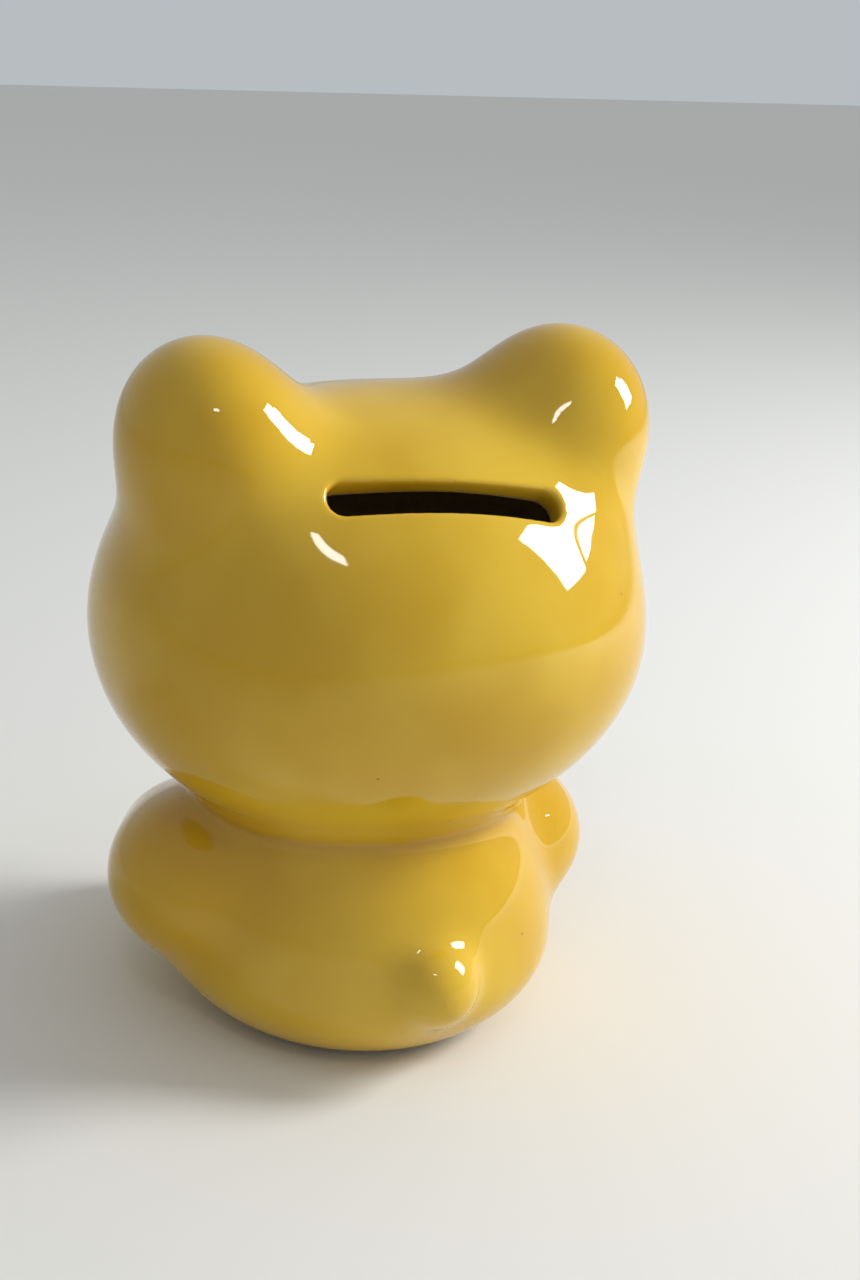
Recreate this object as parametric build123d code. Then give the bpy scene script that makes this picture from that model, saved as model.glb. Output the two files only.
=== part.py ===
"""A coin bank: a seated cub of slip-cast, glazed earthenware, with a soft stopper in its base.

Millimetres. +Z is up, the cub faces -Y, and the origin is on the table, below the middle of the figure.
Every curved form is a group of ellipsoids, and a hollow is the same group shrunk by the wall.
"""

import os
from math import cos, radians, sin, sqrt

from build123d import *

# the casting
WALL = 4.2  # thickness of the clay wall
NECK_HEIGHT = 43.0  # where the head is stuck to the body

# head: half-sizes across, front to back and up, and where each form's middle lies
HEAD_Y = 4.2
HEAD_ABOVE_NECK = 31.5
HEAD_RADII = (44.0, 46.4, 39.2)
CHEEK_SIDE = 17.6  # from the middle plane
CHEEK_Y = 5.0
CHEEK_BELOW_HEAD = 1.5
CHEEK_RADII = (31.0, 37.5, 27.1)
EAR_INSIDE = 11.5  # the ear's middle is this far inside the head's side
EAR_Y = 12.2
EAR_BELOW_CROWN = 4.1
EAR_RADII = (13.4, 16.8, 14.8)

# body
BELLY_Y = 2.0
BELLY_Z = 14.6  # the widest level
BELLY_RADII = (36.0, 39.1, 20.3)  # below the widest level
BODY_ABOVE_NECK = 11.6  # the body's upper half would close this far above the neck

# limbs
SHOULDER_INSIDE = 7.0  # the upper arm's middle is this far inside the belly's side
SHOULDER_BEHIND_FRONT = 38.1  # from the belly's front back to the upper arm's middle
SHOULDER_Z = 25.8
SHOULDER_RADII = (16.6, 18.0, 14.6)
FOREARM_INSIDE = 10.0
FOREARM_BEHIND_FRONT = 23.1
FOREARM_Z = 23.0
FOREARM_RADII = (13.5, 17.0, 13.0)
LEG_SIDE = 16.0
LEG_BEHIND_FRONT = 10.7  # from the belly's front back to the leg's middle
LEG_RADII = (11.5, 20.5, 11.0)
LEG_LIFT = 0.8  # the feet stay this far above the table
LEG_SPLAY = 12.0  # degrees that each leg turns outwards
LIMB_WALL = 4.0  # thickness of the clay in the hollow arms and legs
VENT_RADIUS = 1.5  # pricked through the body wall, to let the air out of a hollow limb
TAIL_RADIUS = 6.5
TAIL_ABOVE_BELLY = 2.5  # above the belly's middle
TAIL_PROUD = 0.7  # how far the tail's middle stands out from the belly

# face
MUZZLE_BELOW_HEAD = 8.5
MUZZLE_RADII = (15.0, 10.0, 11.0)
MUZZLE_SUNK = 2.4  # the muzzle's middle is this far inside the face
NOSE_RADII = (5.6, 4.2, 4.0)
NOSE_RISE = 5.0  # above the muzzle's middle
NOSE_SUNK = 1.2
EYE_RADIUS = 3.2
EYE_SIDE = 15.5
EYE_ABOVE_HEAD = 5.5  # above the head's middle
EYE_SUNK = 1.0

# coin slot
SLOT_LENGTH = 40.0
SLOT_WIDTH = 6.2  # clear between the lips
SLOT_BELOW_CROWN = 11.2  # where the middle of the slot meets the outer surface
SLOT_SLOPE = 41.4  # degrees above level, outwards
SLOT_TILT = 6.7  # degrees that the hand-cut slot leans, lower on the right from behind
SLOT_END_RADIUS = 2.4  # rounded corners of the cut
SLOT_DEPTH = 24.0

# base
RECESS_DEPTH = 2.6  # from the table up to the floor's underside
FLOOR_THICKNESS = 4.4
HOLE_RADIUS = 16.0  # emptying hole, wide enough for common coins

# stopper
PLUG_CLEARANCE = 0.05  # radial, between the ribs and the hole
PLUG_GROOVE = 0.9  # the plug's skin is this much smaller than its ribs
PLUG_ABOVE_FLOOR = 2.6
PLUG_WALL = 2.2
PLUG_LEAD = 1.0  # chamfer that leads the plug into the hole
RIB_HEIGHT = 1.1
RIB_COUNT = 2
FLANGE_LAP = 2.6  # the flange reaches this far past the hole
FLANGE_THICKNESS = 1.6
FLANGE_ROUND = 0.5
FLANGE_CLEARANCE = 1.4  # radial, between the flange and the foot ring
GRIP_RADIUS = 7.0  # recess in the underside
GRIP_DEPTH = 2.2
GRIP_BAR_WIDTH = 2.6  # bar across the recess, to pull on

# worked out
HEAD_Z = NECK_HEIGHT + HEAD_ABOVE_NECK
CROWN_Z = HEAD_Z + HEAD_RADII[2]
CHEEK_Z = HEAD_Z - CHEEK_BELOW_HEAD
EAR_SIDE = HEAD_RADII[0] - EAR_INSIDE
EAR_Z = CROWN_Z - EAR_BELOW_CROWN
MUZZLE_Z = HEAD_Z - MUZZLE_BELOW_HEAD
EYE_Z = HEAD_Z + EYE_ABOVE_HEAD
SLOT_Z = CROWN_Z - SLOT_BELOW_CROWN
UPPER_RADII = (BELLY_RADII[0], BELLY_RADII[1], NECK_HEIGHT - BELLY_Z + BODY_ABOVE_NECK)
BELLY_FRONT_Y = BELLY_Y - BELLY_RADII[1]
SHOULDER_SIDE = BELLY_RADII[0] - SHOULDER_INSIDE
SHOULDER_Y = BELLY_FRONT_Y + SHOULDER_BEHIND_FRONT
FOREARM_SIDE = BELLY_RADII[0] - FOREARM_INSIDE
FOREARM_Y = BELLY_FRONT_Y + FOREARM_BEHIND_FRONT
LEG_Y = BELLY_FRONT_Y + LEG_BEHIND_FRONT
TAIL_Z = BELLY_Z + TAIL_ABOVE_BELLY
BASE_Y = BELLY_Y  # middle of the foot ring, the hole and the stopper
FLANGE_RADIUS = HOLE_RADIUS + FLANGE_LAP
FOOT_RING_INNER = FLANGE_RADIUS + FLANGE_CLEARANCE
FLOOR_TOP = RECESS_DEPTH + FLOOR_THICKNESS
PLUG_TOP = FLOOR_TOP + PLUG_ABOVE_FLOOR
BIG = 400.0  # larger than the whole bank


def shrunk(radii, inset):
    """Half-sizes of an ellipsoid whose surface lies this far inside."""
    return tuple(radius - inset for radius in radii)


def ellipsoid(x, y, z, radii):
    return Pos(x, y, z) * scale(Sphere(1), by=radii)


def pair(side, y, z, radii):
    """The same ellipsoid on both sides of the middle plane."""
    return ellipsoid(-side, y, z, radii) + ellipsoid(side, y, z, radii)


def between(low, high):
    """A wide slab from one height to another."""
    return Pos(0, 0, (low + high) / 2) * Box(BIG, BIG, high - low)


def head_form(inset=0.0):
    """The head with its cheeks and ears."""
    head = ellipsoid(0, HEAD_Y, HEAD_Z, shrunk(HEAD_RADII, inset))
    cheeks = pair(CHEEK_SIDE, CHEEK_Y, CHEEK_Z, shrunk(CHEEK_RADII, inset))
    ears = pair(EAR_SIDE, EAR_Y, EAR_Z, shrunk(EAR_RADII, inset))
    return head + cheeks + ears


def body_form(inset=0.0):
    """An egg: a low ellipsoid below the widest level, and a tall one that runs up into the neck."""
    seat = ellipsoid(0, BELLY_Y, BELLY_Z, shrunk(BELLY_RADII, inset)) & between(-BIG, BELLY_Z)
    upper = ellipsoid(0, BELLY_Y, BELLY_Z, shrunk(UPPER_RADII, inset)) & between(BELLY_Z, BIG)
    return seat + upper


def reach_y(radii, x, z):
    """How far an ellipsoid's surface lies before and behind its middle, x across and z up from there."""
    return radii[1] * sqrt(1 - (x / radii[0]) ** 2 - (z / radii[2]) ** 2)


def face_y(x, z):
    """Y of the head's front at a place across and up."""
    return HEAD_Y - reach_y(HEAD_RADII, x, z - HEAD_Z)


def slot_cutter():
    """The coin slot's cut: a long bar with rounded corners, along the slope of the cut."""
    slope = radians(SLOT_SLOPE)
    outwards = Vector(0, cos(slope), sin(slope))
    back_y = HEAD_Y + reach_y(HEAD_RADII, 0, SLOT_Z - HEAD_Z)
    mouth = Plane(origin=(0, back_y, SLOT_Z), x_dir=(1, 0, 0), z_dir=outwards)
    outline = Rot(0, 0, -SLOT_TILT) * RectangleRounded(SLOT_LENGTH, SLOT_WIDTH, SLOT_END_RADIUS)
    return extrude(mouth * outline, SLOT_DEPTH / 2, both=True)


def head_shell():
    shell = (head_form() - head_form(WALL)) & between(NECK_HEIGHT, BIG)
    return shell - slot_cutter()


def vent(side):
    """Pin hole from the body's hollow into one arm."""
    inner = Pos(side * SHOULDER_SIDE / 2, SHOULDER_Y, SHOULDER_Z)
    return inner * Rot(0, 90, 0) * Cylinder(VENT_RADIUS, SHOULDER_SIDE)


def leg_vent(side):
    """Pin hole from the body's hollow into one leg."""
    inner = Pos(side * LEG_SIDE, LEG_Y, LEG_LIFT + LEG_RADII[2])
    return inner * Rot(90, 0, 0) * Cylinder(VENT_RADIUS, LEG_RADII[1])


def body_shell():
    shell = body_form() & between(0, NECK_HEIGHT)
    shell -= body_form(WALL) & between(FLOOR_TOP, BIG)
    shell -= Pos(0, BASE_Y, 0) * Cylinder(FOOT_RING_INNER, 2 * RECESS_DEPTH)
    shell -= Pos(0, BASE_Y, 0) * Cylinder(HOLE_RADIUS, 2 * (FLOOR_TOP + WALL))
    for side in (-1, 1):
        shell -= vent(side)
        shell -= leg_vent(side)
    return shell


def arm_form(inset=0.0):
    """The upper arm and the forearm that points forwards from it."""
    shoulder = ellipsoid(SHOULDER_SIDE, SHOULDER_Y, SHOULDER_Z, shrunk(SHOULDER_RADII, inset))
    forearm = ellipsoid(FOREARM_SIDE, FOREARM_Y, FOREARM_Z, shrunk(FOREARM_RADII, inset))
    return shoulder + forearm


def left_arm():
    """A hollow arm, open where the body wall closes it."""
    return arm_form() - arm_form(LIMB_WALL) - body_form() - head_form()


def leg_form(inset=0.0):
    place = Pos(LEG_SIDE, LEG_Y, LEG_LIFT + LEG_RADII[2]) * Rot(0, 0, LEG_SPLAY)
    return place * ellipsoid(0, 0, 0, shrunk(LEG_RADII, inset))


def left_leg():
    """A hollow leg and foot, open where the body wall closes it."""
    return leg_form() - leg_form(LIMB_WALL) - body_form() - arm_form()


def tail():
    back_y = BELLY_Y + reach_y(BELLY_RADII, 0, TAIL_ABOVE_BELLY)
    return Pos(0, back_y + TAIL_PROUD, TAIL_Z) * Sphere(TAIL_RADIUS) - body_form()


def muzzle_form():
    return ellipsoid(0, face_y(0, MUZZLE_Z) + MUZZLE_SUNK, MUZZLE_Z, MUZZLE_RADII)


def muzzle():
    return muzzle_form() - head_form()


def nose():
    muzzle_y = face_y(0, MUZZLE_Z) + MUZZLE_SUNK
    front_y = muzzle_y - reach_y(MUZZLE_RADII, 0, NOSE_RISE)
    whole = ellipsoid(0, front_y + NOSE_SUNK, MUZZLE_Z + NOSE_RISE, NOSE_RADII)
    return whole - muzzle_form() - head_form()


def left_eye():
    middle_y = face_y(EYE_SIDE, EYE_Z) + EYE_SUNK
    return Pos(EYE_SIDE, middle_y, EYE_Z) * Sphere(EYE_RADIUS) - head_form()


def other_side(piece):
    """The same piece on the other side of the middle plane."""
    return mirror(piece, about=Plane.YZ)


def base_stopper():
    """A soft plug: a flange under the floor, a ribbed cup through the hole, and a grip in its underside."""
    rib_radius = HOLE_RADIUS - PLUG_CLEARANCE
    skin_radius = rib_radius - PLUG_GROOVE
    flange_low = RECESS_DEPTH - FLANGE_THICKNESS
    align = (Align.CENTER, Align.CENTER, Align.MIN)
    flange = Pos(0, 0, flange_low) * Cylinder(FLANGE_RADIUS, FLANGE_THICKNESS, align=align)
    flange = fillet(flange.edges().group_by(Axis.Z)[0], FLANGE_ROUND)
    plug = Pos(0, 0, RECESS_DEPTH) * Cylinder(skin_radius, PLUG_TOP - RECESS_DEPTH, align=align)
    plug = chamfer(plug.edges().group_by(Axis.Z)[-1], PLUG_LEAD)
    whole = flange + plug
    gap = (FLOOR_THICKNESS - RIB_COUNT * RIB_HEIGHT) / (RIB_COUNT + 1)
    for number in range(RIB_COUNT):
        low = RECESS_DEPTH + gap + number * (RIB_HEIGHT + gap)
        whole += Pos(0, 0, low) * Cylinder(rib_radius, RIB_HEIGHT, align=align)
    cup_floor = flange_low + GRIP_DEPTH + PLUG_WALL
    whole -= Pos(0, 0, cup_floor) * Cylinder(skin_radius - PLUG_WALL, BIG, align=align)
    grip = Pos(0, 0, flange_low) * Cylinder(GRIP_RADIUS, GRIP_DEPTH, align=align)
    bar = Pos(0, 0, flange_low) * Box(2 * GRIP_RADIUS, GRIP_BAR_WIDTH, GRIP_DEPTH, align=align)
    return Pos(0, BASE_Y, 0) * (whole - (grip - bar))


def main():
    os.makedirs("parts", exist_ok=True)
    pieces = {
        "head_shell": head_shell(),
        "body_shell": body_shell(),
        "left_arm": left_arm(),
        "right_arm": other_side(left_arm()),
        "left_leg": left_leg(),
        "right_leg": other_side(left_leg()),
        "tail": tail(),
        "muzzle": muzzle(),
        "nose": nose(),
        "left_eye": left_eye(),
        "right_eye": other_side(left_eye()),
        "base_stopper": base_stopper(),
    }
    for name, piece in pieces.items():
        export_step(piece, f"parts/{name}.step")


main()
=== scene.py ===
"""The looks of a glazed earthenware coin bank: a seated cub with a coin slot in its head and a soft base plug.

Laid out as an add-on and run as a script. Metres, +Z up, the cub faces -Y. The clay is one smooth shape:
ellipsoids run together by a smooth minimum, hollowed by the wall, with the slot and the base cut out of it.
"""

from math import cos, radians, sin, tan

import bmesh
import bpy
from bpy.props import FloatProperty, FloatVectorProperty, PointerProperty, StringProperty
from bpy.types import Operator, Panel, PropertyGroup
from mathutils import Matrix, Vector


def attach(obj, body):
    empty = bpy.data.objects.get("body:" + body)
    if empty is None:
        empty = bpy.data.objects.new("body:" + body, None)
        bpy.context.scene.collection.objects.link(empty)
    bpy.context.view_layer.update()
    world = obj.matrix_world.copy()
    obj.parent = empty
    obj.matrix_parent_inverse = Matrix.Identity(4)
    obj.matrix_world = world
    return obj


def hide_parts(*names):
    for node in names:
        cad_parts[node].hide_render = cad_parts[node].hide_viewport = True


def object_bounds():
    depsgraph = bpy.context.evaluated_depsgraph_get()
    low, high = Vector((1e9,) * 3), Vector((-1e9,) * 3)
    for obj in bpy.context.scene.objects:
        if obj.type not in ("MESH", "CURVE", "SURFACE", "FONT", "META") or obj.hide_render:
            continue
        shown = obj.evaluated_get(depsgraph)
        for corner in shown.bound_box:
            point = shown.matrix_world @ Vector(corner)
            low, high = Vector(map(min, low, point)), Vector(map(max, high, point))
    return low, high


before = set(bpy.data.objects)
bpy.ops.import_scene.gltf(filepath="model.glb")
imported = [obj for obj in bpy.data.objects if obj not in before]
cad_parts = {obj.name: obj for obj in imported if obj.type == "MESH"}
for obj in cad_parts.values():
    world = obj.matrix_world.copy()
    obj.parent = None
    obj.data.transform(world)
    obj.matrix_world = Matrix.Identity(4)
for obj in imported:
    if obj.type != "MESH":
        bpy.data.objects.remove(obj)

bl_info = {
    "name": "Glazed Coin Bank",
    "version": (1, 0, 0),
    "blender": (4, 5, 0),
    "location": "View3D > Sidebar > Coin Bank",
    "description": "Builds a glazed earthenware coin bank in the shape of a seated cub",
    "category": "Object",
}

CAD_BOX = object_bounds()
MM = 0.001
FULLNESS = 200.0  # turns a distance in metres into the block's density
NUDGE = 0.05 * MM  # how far apart the distance is asked to find its slope
FACES_DOWN = -0.9
SPECK_SPACING = 9 * MM


# Sizes and colours

def mm(*values):
    return tuple(value * MM for value in values)


def place(name, about, *values):
    """A point or a set of three half-sizes, given in millimetres."""
    return FloatVectorProperty(
        name=name, description=about, default=mm(*values), subtype="XYZ", unit="LENGTH", precision=4,
    )


def length(name, about, value, least=0.0):
    """One length, given in millimetres."""
    return FloatProperty(
        name=name, description=about, default=value * MM, min=least * MM, unit="LENGTH", precision=4,
    )


def angle(name, about, degrees):
    return FloatProperty(name=name, description=about, default=radians(degrees), subtype="ANGLE")


def shade(name, about, value):
    return StringProperty(name=name, description=about + ", as an sRGB hex value", default=value)


class CoinBankSizes(PropertyGroup):
    """The clay's forms. A middle is a form's centre, and its radii are its half-sizes."""

    wall: length("Wall", "Thickness of the cast clay", 4.2, 1)
    head_middle: place("Head middle", "Centre of the head", 0, 4.2, 74.5)
    head_radii: place("Head radii", "Half-sizes of the head", 44.0, 46.1, 39.2)
    cheek_middle: place("Cheek middle", "Centre of the left cheek", 17.6, 5.0, 73.0)
    cheek_radii: place("Cheek radii", "Half-sizes of a cheek", 29.0, 37.5, 27.1)
    cheek_blend: length("Cheek blend", "How softly the cheeks run into the head", 18.3)
    ear_middle: place("Ear middle", "Centre of the left ear", 32.5, 12.2, 109.6)
    ear_radii: place("Ear radii", "Half-sizes of an ear", 13.0, 16.8, 14.4)
    ear_blend: length("Ear blend", "How softly the ears run into the head", 29.0)
    belly_middle: place("Belly middle", "Centre of the belly", 0, 2.0, 14.6)
    belly_radii: place("Belly radii", "Half-sizes of the belly, below its widest level", 36.0, 39.1, 20.3)
    belly_rise: length("Belly rise", "Half-height above the widest level, up inside the head", 40.0)
    neck_blend: length("Neck blend", "How softly the head meets the body", 11.0)
    shoulder_middle: place("Shoulder middle", "Centre of the left upper arm", 29.0, 1.0, 25.8)
    shoulder_radii: place("Shoulder radii", "Half-sizes of an upper arm", 16.6, 18.0, 14.6)
    forearm_middle: place("Forearm middle", "Centre of the left forearm", 26.0, -14.0, 23.0)
    forearm_radii: place("Forearm radii", "Half-sizes of a forearm", 13.5, 17.0, 13.0)
    elbow_blend: length("Elbow blend", "How softly the upper arm runs into the forearm", 14.0)
    arm_blend: length("Arm blend", "How softly an arm runs into the body", 8.0)
    leg_middle: place("Leg middle", "Centre of the left leg", 16.0, -26.4, 11.8)
    leg_radii: place("Leg radii", "Half-sizes of a leg", 11.5, 20.5, 11.0)
    leg_splay: angle("Leg splay", "How far a leg turns outwards", 12.0)
    leg_blend: length("Leg blend", "How softly a leg runs into the body", 6.0)
    tail_middle: place("Tail middle", "Centre of the tail", 0.6, 40.2, 18.2)
    tail_radii: place("Tail radii", "Half-sizes of the tail", 6.8, 6.6, 6.8)
    tail_blend: length("Tail blend", "How softly the tail runs into the belly", 7.0)
    muzzle_middle: place("Muzzle middle", "Centre of the muzzle", 0, -38.4, 66.0)
    muzzle_radii: place("Muzzle radii", "Half-sizes of the muzzle", 15.0, 10.0, 11.0)
    muzzle_blend: length("Muzzle blend", "How softly the muzzle runs into the face", 6.0)
    slot_middle: place("Slot middle", "Where the coin slot meets the outer surface", 0, 36.5, 102.5)
    slot_size: place("Slot size", "Coin slot's length, depth of cut and width", 39.4, 24.0, 5.7)
    slot_corner: length("Slot corner", "Radius of the slot's rounded corners", 2.8)
    slot_slope: angle("Slot slope", "How far above level the slot points", 41.4)
    slot_tilt: angle("Slot tilt", "How far the hand-cut slot leans", 6.7)
    slot_lip: length("Slot lip", "How softly the slot's edges are rounded", 1.6)
    base_middle: place("Base middle", "Middle of the foot ring and the hole", 0, 2.0, 0)
    base_blend: length("Base blend", "How softly the sides turn under to the foot ring", 4.0)
    recess_radius: length("Recess radius", "Inside of the foot ring", 20.0)
    recess_depth: length("Recess depth", "From the table to the floor's underside", 2.6)
    floor_top: length("Floor top", "Height of the floor's upper face", 7.0)
    hole_radius: length("Hole radius", "The emptying hole", 16.0)
    edge_blend: length("Edge blend", "Rounding of the base's other edges", 1.0)


class CoinBankColours(PropertyGroup):
    glaze: shade("Glaze", "Yellow of the glaze where it is evenly thick", "#CFA213")
    glaze_thin: shade("Thin glaze", "Where the glaze runs thin over a crown or an edge", "#DDB530")
    # darker amber laid into the creases by their depth: glaze that pools there, and painted shade with it; the iron
    # specks take this colour too
    glaze_pooled: shade("Pooled glaze", "Where the glaze pools in a crease", "#B5821C")
    bisque: shade("Bisque", "Bare fired clay", "#D9C7A6")
    brown: shade("Brown", "Brown glaze of the nose and eyes", "#2A1710")
    plug: shade("Plug", "Soft plug", "#D8D3C6")
    floor: shade("Floor", "Studio floor", "#EBEAE6")
    sky: shade("Backdrop", "Studio backdrop", "#B7BDC1")


# Nodes, for geometry and for materials alike

def node(tree, kind, inputs=None, **settings):
    """Adds a node with its settings, and sets or links its inputs by name or number."""
    made = tree.nodes.new(kind)
    for name, value in settings.items():
        setattr(made, name, value)
    for key, value in (inputs or {}).items():
        if isinstance(value, bpy.types.NodeSocket):
            tree.links.new(value, made.inputs[key])
        else:
            made.inputs[key].default_value = value
    return made


def calc(tree, operation, *values):
    return node(tree, "ShaderNodeMath", dict(enumerate(values)), operation=operation).outputs[0]


def vector(tree, operation, *values):
    made = node(tree, "ShaderNodeVectorMath", dict(enumerate(values)), operation=operation)
    return made.outputs["Value" if operation in ("LENGTH", "DOT_PRODUCT") else "Vector"]


def size_names():
    return list(CoinBankSizes.__annotations__)


def add_size_inputs(tree, sizes):
    """One named input for each size, with the size as its default."""
    for name in size_names():
        value = getattr(sizes, name)
        kind = "NodeSocketFloat" if isinstance(value, float) else "NodeSocketVector"
        socket = tree.interface.new_socket(name, in_out="INPUT", socket_type=kind)
        socket.default_value = value


def new_tree(name, inputs=(), outputs=()):
    tree = bpy.data.node_groups.new(name, "GeometryNodeTree")
    for title, kind in inputs:
        tree.interface.new_socket(title, in_out="INPUT", socket_type=kind)
    for title, kind in outputs:
        tree.interface.new_socket(title, in_out="OUTPUT", socket_type=kind)
    return tree


def ellipsoid(tree, position, middle, radii):
    """Nearly the distance to an ellipsoid, exact on its surface."""
    off = vector(tree, "SUBTRACT", position, middle)
    share = vector(tree, "DIVIDE", off, radii)
    near = vector(tree, "LENGTH", share)
    slope = vector(tree, "LENGTH", vector(tree, "DIVIDE", share, radii))
    return calc(tree, "DIVIDE", calc(tree, "MULTIPLY", near, calc(tree, "SUBTRACT", near, 1.0)), slope)


def join(tree, first, second, blend):
    return calc(tree, "SMOOTH_MIN", first, second, blend)


def cut(tree, solid, tool, blend):
    """Takes a tool's inside away from a solid, with a rounded edge."""
    return calc(tree, "SMOOTH_MAX", solid, calc(tree, "MULTIPLY", tool, -1.0), blend)


def slot_prism(tree, position, size):
    """Distance to the coin slot's cut, a bar with rounded corners along the slope."""
    local = vector(tree, "SUBTRACT", position, size["slot_middle"])
    for axis, turn in (("X_AXIS", size["slot_slope"]), ("Y_AXIS", calc(tree, "MULTIPLY", size["slot_tilt"], -1.0))):
        turned = node(
            tree, "ShaderNodeVectorRotate", {"Vector": local, "Angle": turn}, rotation_type=axis, invert=True,
        )
        local = turned.outputs[0]
    half = vector(tree, "MULTIPLY", size["slot_size"], (0.5, 0.5, 0.5))
    beyond = vector(tree, "SUBTRACT", vector(tree, "ABSOLUTE", local), half)
    split = node(tree, "ShaderNodeSeparateXYZ", {0: beyond})
    across = [calc(tree, "ADD", split.outputs[axis], size["slot_corner"]) for axis in (0, 2)]
    outside = [calc(tree, "MAXIMUM", value, 0.0) for value in across]
    corner = node(tree, "ShaderNodeCombineXYZ", {0: outside[0], 1: outside[1]})
    inside = calc(tree, "MINIMUM", calc(tree, "MAXIMUM", *across), 0.0)
    round_bar = calc(tree, "ADD", vector(tree, "LENGTH", corner.outputs[0]), inside)
    return calc(tree, "MAXIMUM", calc(tree, "SUBTRACT", round_bar, size["slot_corner"]), split.outputs[1])


def clay_distance(sizes):
    """A group that gives the distance from any point to the fired clay."""
    tree = new_tree(
        "Clay distance",
        inputs=[("Position", "NodeSocketVector")],
        outputs=[(name, "NodeSocketFloat") for name in ("Distance", "Outer", "Crease")],
    )
    add_size_inputs(tree, sizes)
    given = node(tree, "NodeGroupInput").outputs
    size = {name: given[name] for name in size_names()}
    position = given["Position"]
    split = node(tree, "ShaderNodeSeparateXYZ", {0: position}).outputs
    folded = node(
        tree, "ShaderNodeCombineXYZ", {0: calc(tree, "ABSOLUTE", split[0]), 1: split[1], 2: split[2]},
    ).outputs[0]
    mirrored = vector(tree, "MULTIPLY", position, (-1.0, 1.0, 1.0))

    def form(name, at=position):
        return ellipsoid(tree, at, size[name + "_middle"], size[name + "_radii"])

    # both cheeks and both ears reach the middle plane, so each is joined by itself
    head = form("head")
    for name in ("cheek", "ear"):
        for at in (position, mirrored):
            head = join(tree, head, form(name, at), size[name + "_blend"])
    head = join(tree, head, form("muzzle"), size["muzzle_blend"])
    middle = node(tree, "ShaderNodeSeparateXYZ", {0: size["belly_middle"]}).outputs
    radii = node(tree, "ShaderNodeSeparateXYZ", {0: size["belly_radii"]}).outputs
    above = calc(tree, "GREATER_THAN", split[2], middle[2])
    tall = calc(tree, "MULTIPLY_ADD", above, calc(tree, "SUBTRACT", size["belly_rise"], radii[2]), radii[2])
    egg = node(tree, "ShaderNodeCombineXYZ", {0: radii[0], 1: radii[1], 2: tall}).outputs[0]
    body = ellipsoid(tree, position, size["belly_middle"], egg)
    arm = join(tree, form("shoulder", folded), form("forearm", folded), size["elbow_blend"])
    body = join(tree, body, arm, size["arm_blend"])
    leg_at = vector(tree, "SUBTRACT", folded, size["leg_middle"])
    leg_turn = node(
        tree, "ShaderNodeVectorRotate", {"Vector": leg_at, "Angle": size["leg_splay"]},
        rotation_type="Z_AXIS", invert=True,
    ).outputs[0]
    leg = ellipsoid(tree, leg_turn, (0.0, 0.0, 0.0), size["leg_radii"])
    body = join(tree, body, leg, size["leg_blend"])
    body = join(tree, body, form("tail"), size["tail_blend"])
    outer = join(tree, body, head, size["neck_blend"])
    # how deep each smooth blend sinks below the bare forms; the glaze uses it for pooled glaze and painted shade in
    # the creases
    hard = calc(tree, "MINIMUM", body, head)
    crease = calc(tree, "SUBTRACT", hard, outer)

    below = calc(tree, "MULTIPLY", split[2], -1.0)
    solid = calc(tree, "SMOOTH_MAX", outer, below, size["base_blend"])
    hollow = calc(tree, "ADD", outer, size["wall"])
    under = calc(tree, "ADD", below, size["floor_top"])
    hollow = calc(tree, "SMOOTH_MAX", hollow, under, size["base_blend"])
    solid = calc(tree, "MAXIMUM", solid, calc(tree, "MULTIPLY", hollow, -1.0))
    level = vector(tree, "MULTIPLY", vector(tree, "SUBTRACT", position, size["base_middle"]), (1.0, 1.0, 0.0))
    radial = vector(tree, "LENGTH", level)
    recess = calc(
        tree, "MAXIMUM",
        calc(tree, "SUBTRACT", radial, size["recess_radius"]),
        calc(tree, "SUBTRACT", split[2], size["recess_depth"]),
    )
    hole = calc(
        tree, "MAXIMUM",
        calc(tree, "SUBTRACT", radial, size["hole_radius"]),
        calc(tree, "SUBTRACT", split[2], calc(tree, "MULTIPLY", size["floor_top"], 2.0)),
    )
    for tool in (recess, hole):
        solid = cut(tree, solid, tool, size["edge_blend"])
    solid = cut(tree, solid, slot_prism(tree, position, size), size["slot_lip"])
    node(tree, "NodeGroupOutput", {"Distance": solid, "Outer": outer, "Crease": crease})
    return tree


def ask_clay(tree, clay, given, position):
    """Adds the distance group to a tree, at a position, with the tree's own sizes."""
    inputs = {name: given[name] for name in size_names()}
    inputs["Position"] = position
    asked = tree.nodes.new("GeometryNodeGroup")
    asked.node_tree = clay
    for name, value in inputs.items():
        tree.links.new(value, asked.inputs[name])
    return asked.outputs


def settle_on_clay(clay, sizes):
    """A group that moves a mesh's points onto the clay's exact surface, along its steepest slope."""
    tree = new_tree(
        "Settle on clay", inputs=[("Geometry", "NodeSocketGeometry")],
        outputs=[("Geometry", "NodeSocketGeometry")],
    )
    add_size_inputs(tree, sizes)
    given = node(tree, "NodeGroupInput").outputs
    here = node(tree, "GeometryNodeInputPosition").outputs[0]
    level = ask_clay(tree, clay, given, here)["Distance"]
    slopes = []
    for axis in range(3):
        nudge = [NUDGE if axis == other else 0.0 for other in range(3)]
        ahead = ask_clay(tree, clay, given, vector(tree, "ADD", here, nudge))["Distance"]
        behind = ask_clay(tree, clay, given, vector(tree, "SUBTRACT", here, nudge))["Distance"]
        slopes.append(calc(tree, "DIVIDE", calc(tree, "SUBTRACT", ahead, behind), 2 * NUDGE))
    slope = node(tree, "ShaderNodeCombineXYZ", dict(enumerate(slopes))).outputs[0]
    steep = calc(tree, "MAXIMUM", vector(tree, "DOT_PRODUCT", slope, slope), 0.05)
    back = calc(tree, "MULTIPLY", calc(tree, "DIVIDE", level, steep), -1.0)
    away = node(tree, "ShaderNodeVectorMath", {0: slope, "Scale": back}, operation="SCALE").outputs[0]
    moved = node(tree, "GeometryNodeSetPosition", {"Geometry": given["Geometry"], "Offset": away})
    node(tree, "NodeGroupOutput", {0: moved.outputs[0]})
    return tree


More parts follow.
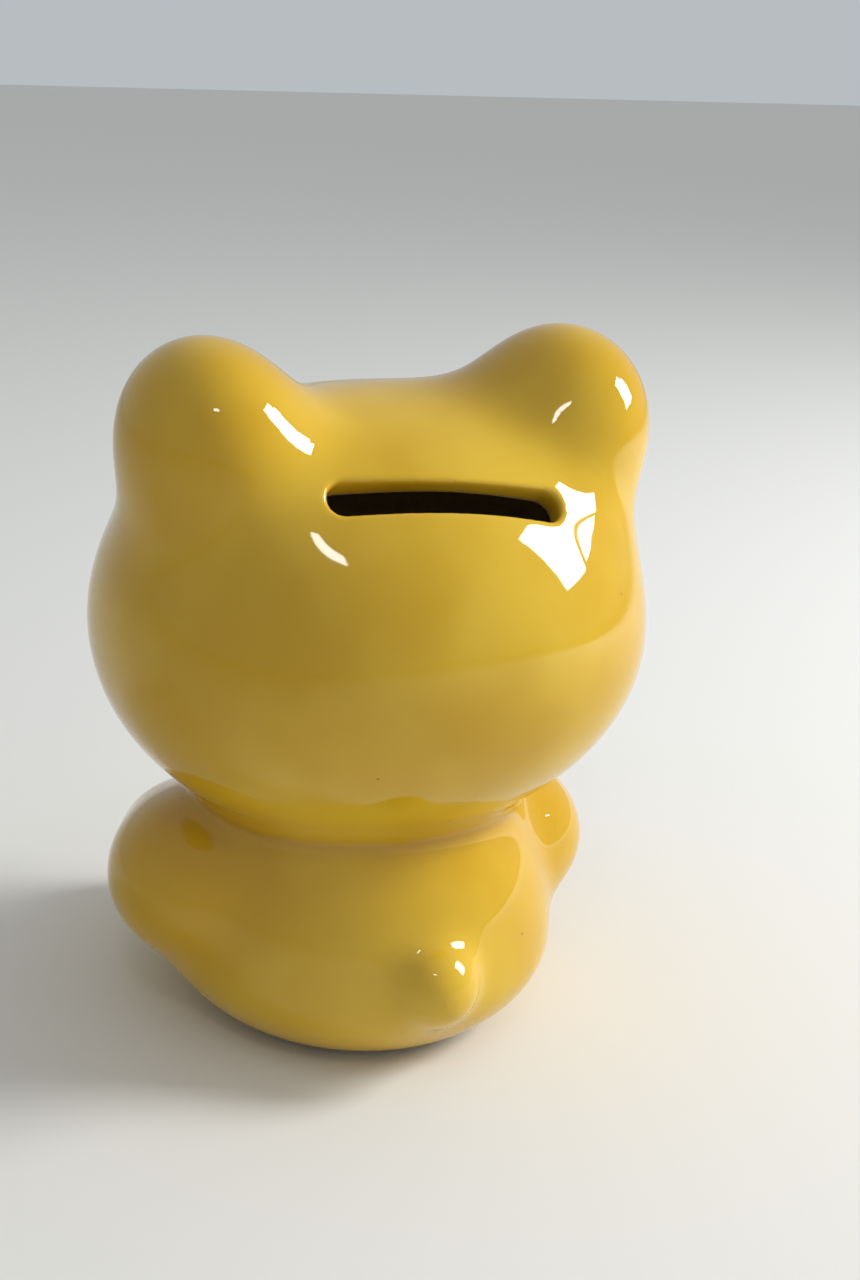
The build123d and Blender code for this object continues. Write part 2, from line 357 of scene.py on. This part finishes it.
def apply_group(tree, group, given, geometry):
    """Adds a geometry group to a tree, with the tree's own sizes."""
    made = tree.nodes.new("GeometryNodeGroup")
    made.node_tree = group
    tree.links.new(geometry, made.inputs["Geometry"])
    for name in size_names():
        tree.links.new(given[name], made.inputs[name])
    return made.outputs["Geometry"]


def cast_clay(clay, settle, sizes):
    """A tree that fills a box with the clay's distance and meshes where it is zero."""
    low, high = CAD_BOX
    spare = 2.5 * MM
    voxel = 0.9 * MM
    tree = new_tree(
        "Cast clay", inputs=[("Geometry", "NodeSocketGeometry"), ("Voxel size", "NodeSocketFloat")],
        outputs=[("Geometry", "NodeSocketGeometry")],
    )
    add_size_inputs(tree, sizes)
    given = node(tree, "NodeGroupInput").outputs
    here = node(tree, "GeometryNodeInputPosition").outputs[0]
    inside = calc(tree, "MULTIPLY", ask_clay(tree, clay, given, here)["Distance"], -FULLNESS)
    block = node(tree, "GeometryNodeVolumeCube", {
        "Density": calc(tree, "ADD", inside, 0.5),
        "Background": 0.0,
        "Min": [value - spare for value in low],
        "Max": [value + spare for value in high],
    })
    for axis, name in enumerate("XYZ"):
        block.inputs["Resolution " + name].default_value = int((high[axis] - low[axis] + 2 * spare) / voxel)
    skin = node(
        tree, "GeometryNodeVolumeToMesh", {"Volume": block.outputs[0], "Threshold": 0.5}, resolution_mode="GRID",
    )
    geometry = apply_group(tree, settle, given, skin.outputs[0])
    node(tree, "NodeGroupOutput", {0: geometry})
    return tree


def finish_clay(clay, settle, sizes, materials):
    """A tree that settles the refined mesh, stores how deep each crease is, for the pooled glaze and painted shade
    there, and gives each area its finish.
    """
    tree = new_tree(
        "Finish clay", inputs=[("Geometry", "NodeSocketGeometry")], outputs=[("Geometry", "NodeSocketGeometry")],
    )
    add_size_inputs(tree, sizes)
    given = node(tree, "NodeGroupInput").outputs
    geometry = given["Geometry"]
    for _ in range(3):
        geometry = apply_group(tree, settle, given, geometry)
    here = node(tree, "GeometryNodeInputPosition").outputs[0]
    asked = ask_clay(tree, clay, given, here)
    stored = node(
        tree, "GeometryNodeStoreNamedAttribute",
        {"Geometry": geometry, "Name": "crease", "Value": asked["Crease"]}, data_type="FLOAT", domain="POINT",
    )
    geometry = node(tree, "GeometryNodeSetShadeSmooth", {"Geometry": stored.outputs[0]}).outputs[0]
    height = node(tree, "ShaderNodeSeparateXYZ", {0: here}).outputs[2]
    deep = calc(tree, "LESS_THAN", asked["Outer"], calc(tree, "MULTIPLY", given["wall"], -0.8))
    down = node(tree, "ShaderNodeSeparateXYZ", {0: node(tree, "GeometryNodeInputNormal").outputs[0]}).outputs[2]
    foot = calc(tree, "MULTIPLY", given["recess_depth"], 1.1)
    ring = calc(
        tree, "MULTIPLY", calc(tree, "LESS_THAN", height, foot),
        calc(tree, "LESS_THAN", down, FACES_DOWN),
    )
    bare = calc(tree, "MAXIMUM", deep, ring)
    glazed = node(tree, "GeometryNodeSetMaterial", {"Geometry": geometry, "Material": materials[0]})
    clayed = node(
        tree, "GeometryNodeSetMaterial",
        {"Geometry": glazed.outputs[0], "Selection": bare, "Material": materials[1]},
    )
    real = node(tree, "GeometryNodeRealizeInstances", {0: clayed.outputs[0]})
    node(tree, "NodeGroupOutput", {0: real.outputs[0]})
    return tree


def run_tree(thing, tree, values):
    """Runs a geometry tree on an object and keeps the result as its plain mesh."""
    modifier = thing.modifiers.new(tree.name, "NODES")
    modifier.node_group = tree
    identifiers = {item.name: item.identifier for item in tree.interface.items_tree}
    for name, value in values.items():
        modifier[identifiers[name]] = value
    graph = bpy.context.evaluated_depsgraph_get()
    graph.update()
    made = bpy.data.meshes.new_from_object(thing.evaluated_get(graph), depsgraph=graph)
    thing.modifiers.remove(modifier)
    old, thing.data = thing.data, made
    bpy.data.meshes.remove(old)
    return thing


def size_values(sizes):
    values = {}
    for name in size_names():
        value = getattr(sizes, name)
        values[name] = value if isinstance(value, float) else tuple(value)
    return values


def new_object(name, mesh=None):
    thing = bpy.data.objects.new(name, mesh or bpy.data.meshes.new(name))
    bpy.context.scene.collection.objects.link(thing)
    return thing


def refine(thing, zones):
    """Divides the mesh's edges inside each zone, given as a test of a point and an edge length."""
    mesh = bmesh.new()
    mesh.from_mesh(thing.data)
    for near, longest in zones:
        edges = [
            edge for edge in mesh.edges
            if near((edge.verts[0].co + edge.verts[1].co) / 2) and edge.calc_length() > longest
        ]
        bmesh.ops.subdivide_edges(mesh, edges=edges, cuts=1, use_grid_fill=True)
        bmesh.ops.triangulate(mesh, faces=[face for face in mesh.faces if len(face.verts) > 4])
    mesh.to_mesh(thing.data)
    mesh.free()


# Materials

def linear(text):
    """An sRGB hex value as linear red, green, blue and alpha."""
    parts = [int(text[start:start + 2], 16) / 255 for start in (1, 3, 5)]
    return (*[part / 12.92 if part <= 0.04045 else ((part + 0.055) / 1.055) ** 2.4 for part in parts], 1.0)


def new_material(name):
    material = bpy.data.materials.new(name)
    material.use_nodes = True
    tree = material.node_tree
    tree.nodes.clear()
    shader = node(tree, "ShaderNodeBsdfPrincipled")
    node(tree, "ShaderNodeOutputMaterial", {"Surface": shader.outputs[0]})
    return material, tree, shader


def noise(tree, at, size_mm, detail=2.0, roughness=0.5):
    """Noise whose features are about this many millimetres across, from 0 to 1."""
    return node(
        tree, "ShaderNodeTexNoise",
        {"Vector": at, "Scale": 1 / (size_mm * MM), "Detail": detail, "Roughness": roughness},
    ).outputs["Fac"]


def ramp(tree, value, low, high):
    """Nought below low, one above high, and smooth between."""
    return node(
        tree, "ShaderNodeMapRange", {"Value": value, "From Min": low, "From Max": high},
        interpolation_type="SMOOTHSTEP",
    ).outputs[0]


def mix(tree, share, first, second):
    made = node(tree, "ShaderNodeMix", data_type="RGBA")
    for socket, value in ((made.inputs[0], share), (made.inputs[6], first), (made.inputs[7], second)):
        if isinstance(value, bpy.types.NodeSocket):
            tree.links.new(value, socket)
        else:
            socket.default_value = value
    return made.outputs[2]


def honey_glaze(colours):
    """Glossy lead-free earthenware glaze, dipped: even yellow, paler where it thins, and amber in the creases,
    where the pooled glaze also paints the shade.
    """
    material, tree, shader = new_material("honey_glaze")
    at = node(tree, "ShaderNodeTexCoord").outputs["Object"]
    crease_pooling_and_shade = node(tree, "ShaderNodeAttribute", attribute_name="crease").outputs["Fac"]
    cloud = ramp(tree, noise(tree, at, 30, 2), 0.35, 0.7)
    colour = mix(tree, cloud, linear(colours.glaze), linear(colours.glaze_thin))
    # the creases turn amber by their depth: pooled glaze, and painted shade with it
    colour = mix(tree, ramp(tree, crease_pooling_and_shade, 0.0, 2.8 * MM), colour, linear(colours.glaze_pooled))
    # a few iron specks burnt through from the clay
    spots = node(tree, "ShaderNodeTexVoronoi", {"Vector": at, "Scale": 1 / SPECK_SPACING}).outputs
    draw = node(tree, "ShaderNodeSeparateColor", {0: spots["Color"]}).outputs[0]
    chosen = calc(tree, "GREATER_THAN", draw, 0.5)
    speck = calc(tree, "MULTIPLY", calc(tree, "LESS_THAN", spots["Distance"], 0.035), chosen)
    colour = mix(tree, speck, colour, linear(colours.glaze_pooled))
    tree.links.new(colour, shader.inputs["Base Color"])
    shader.inputs["Roughness"].default_value = 0.04
    shader.inputs["IOR"].default_value = 1.5
    return material


def bisque(colours):
    """Bare fired earthenware: matt, slightly open and sandy."""
    material, tree, shader = new_material("earthenware_bisque")
    at = node(tree, "ShaderNodeTexCoord").outputs["Object"]
    grain = noise(tree, at, 0.6, 3)
    colour = mix(tree, grain, linear(colours.bisque), tuple(0.75 * c for c in linear(colours.bisque)[:3]) + (1.0,))
    tree.links.new(colour, shader.inputs["Base Color"])
    shader.inputs["Roughness"].default_value = 0.85
    bump = node(tree, "ShaderNodeBump", {"Height": grain, "Distance": 0.1 * MM, "Strength": 0.4})
    tree.links.new(bump.outputs[0], shader.inputs["Normal"])
    return material


def brown_glaze(colours):
    """Brushed brown glaze on the nose and eyes, under the same gloss."""
    material, tree, shader = new_material("brown_glaze")
    at = node(tree, "ShaderNodeTexCoord").outputs["Object"]
    streak = noise(tree, at, 2.5, 2)
    colour = mix(tree, streak, linear(colours.brown), linear("#4A2A18"))
    tree.links.new(colour, shader.inputs["Base Color"])
    shader.inputs["Roughness"].default_value = 0.3
    shader.inputs["Coat Weight"].default_value = 1.0
    shader.inputs["Coat Roughness"].default_value = 0.03
    return material


def soft_plug(colours):
    """Soft PVC: milky, slightly see-through, with a satin moulded skin."""
    material, tree, shader = new_material("soft_pvc")
    at = node(tree, "ShaderNodeTexCoord").outputs["Object"]
    cloud = noise(tree, at, 6, 2)
    colour = mix(tree, cloud, linear(colours.plug), linear("#C9C3B3"))
    tree.links.new(colour, shader.inputs["Base Color"])
    shader.inputs["Roughness"].default_value = 0.42
    shader.inputs["Subsurface Weight"].default_value = 0.25
    shader.inputs["Subsurface Radius"].default_value = (1.0, 0.9, 0.7)
    shader.inputs["Subsurface Scale"].default_value = 1.5 * MM
    fine = noise(tree, at, 0.5, 2)
    bump = node(tree, "ShaderNodeBump", {"Height": fine, "Distance": 0.03 * MM, "Strength": 0.3})
    tree.links.new(bump.outputs[0], shader.inputs["Normal"])
    return material


def studio_floor(colours):
    """Matt pale paper, which keeps the bank's shadow."""
    material, _, shader = new_material("studio_paper")
    shader.inputs["Base Color"].default_value = linear(colours.floor)
    shader.inputs["Roughness"].default_value = 0.9
    shader.inputs["Specular IOR Level"].default_value = 0.0
    return material


def studio_world(colours):
    """Soft light, stronger from above than from the sides; the camera and reflections see the plain backdrop."""
    world = bpy.data.worlds.new("studio")
    world.use_nodes = True
    tree = world.node_tree
    tree.nodes.clear()
    way = node(tree, "ShaderNodeTexCoord").outputs["Generated"]
    height = node(tree, "ShaderNodeSeparateXYZ", {0: way}).outputs[2]
    room = mix(tree, ramp(tree, height, -0.1, 1.0), linear("#55524E"), linear("#BFC3C5"))
    facing = vector(tree, "DOT_PRODUCT", way, tuple(toward(165.0, 10.0)))
    soft = mix(tree, ramp(tree, facing, 0.1, 1.0), room, linear("#CDD2D6"))
    path = node(tree, "ShaderNodeLightPath").outputs
    seen = calc(tree, "MAXIMUM", path["Is Camera Ray"], path["Is Glossy Ray"])
    seen = calc(tree, "MAXIMUM", seen, path["Is Transmission Ray"])
    plain = mix(tree, seen, soft, linear(colours.sky))
    light = node(tree, "ShaderNodeBackground", {"Color": plain, "Strength": 1.0})
    node(tree, "ShaderNodeOutputWorld", {"Surface": light.outputs[0]})
    return world


# Operators

class COINBANK_OT_clay(Operator):
    """Cast the hollow clay shell and give it its glaze"""

    bl_idname = "coin_bank.clay"
    bl_label = "Clay shell"

    def execute(self, context):
        sizes = context.scene.coin_bank_sizes
        colours = context.scene.coin_bank_colours
        clay = clay_distance(sizes)
        settle = settle_on_clay(clay, sizes)
        shell = new_object("glazed_shell")
        values = size_values(sizes)
        run_tree(shell, cast_clay(clay, settle, sizes), values)
        slot_at = Vector(sizes.slot_middle)
        refine(shell, [
            (lambda point: (point - slot_at).length < 26 * MM, 0.5 * MM),
            (lambda point: point.z < 4 * MM, 0.5 * MM),
        ])
        materials = honey_glaze(colours), bisque(colours)
        run_tree(shell, finish_clay(clay, settle, sizes, materials), values)
        shell.data.name = shell.name
        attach(shell, "bank")
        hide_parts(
            "head_shell", "body_shell", "left_arm", "right_arm", "left_leg", "right_leg", "tail", "muzzle",
        )
        return {"FINISHED"}


class COINBANK_OT_face(Operator):
    """Give the nose and eyes their brown glaze"""

    bl_idname = "coin_bank.face"
    bl_label = "Nose and eyes"

    def execute(self, context):
        finish = brown_glaze(context.scene.coin_bank_colours)
        for name in ("nose", "left_eye", "right_eye"):
            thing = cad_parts[name]
            thing.data.materials.clear()
            thing.data.materials.append(finish)
        return {"FINISHED"}


class COINBANK_OT_plug(Operator):
    """Give the base plug its soft PVC finish"""

    bl_idname = "coin_bank.plug"
    bl_label = "Base plug"

    def execute(self, context):
        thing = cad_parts["base_stopper"]
        thing.data.materials.clear()
        thing.data.materials.append(soft_plug(context.scene.coin_bank_colours))
        return {"FINISHED"}


class COINBANK_OT_stage(Operator):
    """Set up the floor, the backdrop, the lamps and the camera"""

    bl_idname = "coin_bank.stage"
    bl_label = "Stage"

    def execute(self, context):
        colours = context.scene.coin_bank_colours
        scene = context.scene
        scene.view_settings.view_transform = "Standard"
        floor = plane("studio_floor", 8.0)
        floor.data.materials.append(studio_floor(colours))
        scene.world = studio_world(colours)
        # a window on the right of the camera, in two panes, and a small far lamp on its left
        lamp("wide_pane", 162.0, 29.0, 0.9, 13.0, 24.0, 6.0)
        lamp("narrow_pane", 172.2, 27.0, 0.9, 3.5, 18.0, 1.2)
        lamp("ceiling_lamp", 64.0, 50.0, 1.2, 7.0, 3.0, 0.5)
        camera(scene)
        return {"FINISHED"}


def plane(name, size):
    """A level square under the bank."""
    mesh = bmesh.new()
    bmesh.ops.create_grid(mesh, x_segments=1, y_segments=1, size=size / 2)
    thing = new_object(name)
    mesh.to_mesh(thing.data)
    mesh.free()
    return thing


def toward(azimuth, elevation):
    """A direction, from degrees round from +X and degrees above level."""
    level = cos(radians(elevation))
    return Vector((level * cos(radians(azimuth)), level * sin(radians(azimuth)), sin(radians(elevation))))


def lamp(name, azimuth, elevation, distance, wide, tall, power):
    """An oblong lamp that faces the head, this many degrees wide and tall as the head sees it."""
    data = bpy.data.lights.new(name, "AREA")
    data.shape = "RECTANGLE"
    data.size, data.size_y = [2 * distance * tan(radians(across / 2)) for across in (wide, tall)]
    data.energy = power
    thing = bpy.data.objects.new(name, data)
    bpy.context.scene.collection.objects.link(thing)
    way = toward(azimuth, elevation)
    thing.location = Vector(mm(0, 4, 80)) + way * distance
    thing.rotation_euler = way.to_track_quat("Z", "Y").to_euler()
    return thing


def camera(scene):
    """A camera behind the cub and a little above, as one would hold a phone."""
    distance = 322.9 * MM
    target = Vector(mm(0, 3.6, 58.9))
    back = toward(66.6, 20.5)
    right = Vector((0, 0, 1)).cross(back).normalized()
    axes = Matrix((right, back.cross(right), back)).transposed()
    # the bank stands a little left of and below the middle of the picture
    aside = Vector((-tan(radians(2.08)), -tan(radians(1.58)), -1.0)).normalized()
    aim = aside.rotation_difference(Vector((0, 0, -1))).to_matrix()
    data = bpy.data.cameras.new("camera")
    data.sensor_width = 36.0
    data.lens = 50.65
    thing = bpy.data.objects.new("camera", data)
    scene.collection.objects.link(thing)
    turned = axes @ aim @ Matrix.Rotation(radians(1.7), 3, "Z")
    thing.matrix_world = Matrix.Translation(target + back * distance) @ turned.to_4x4()
    scene.camera = thing


class COINBANK_PT_panel(Panel):
    """Lists the bank's operators"""

    bl_idname = "COINBANK_PT_panel"
    bl_label = "Coin Bank"
    bl_space_type = "VIEW_3D"
    bl_region_type = "UI"
    bl_category = "Coin Bank"

    def draw(self, context):
        for operator in OPERATORS:
            self.layout.operator(operator.bl_idname)


OPERATORS = (COINBANK_OT_clay, COINBANK_OT_face, COINBANK_OT_plug, COINBANK_OT_stage)
CLASSES = (CoinBankSizes, CoinBankColours, *OPERATORS, COINBANK_PT_panel)


def register():
    for each in CLASSES:
        bpy.utils.register_class(each)
    bpy.types.Scene.coin_bank_sizes = PointerProperty(type=CoinBankSizes)
    bpy.types.Scene.coin_bank_colours = PointerProperty(type=CoinBankColours)


def unregister():
    del bpy.types.Scene.coin_bank_colours
    del bpy.types.Scene.coin_bank_sizes
    for each in reversed(CLASSES):
        bpy.utils.unregister_class(each)


def main():
    register()
    bpy.ops.coin_bank.stage()
    bpy.ops.coin_bank.clay()
    bpy.ops.coin_bank.face()
    bpy.ops.coin_bank.plug()


if __name__ == "__main__":
    main()
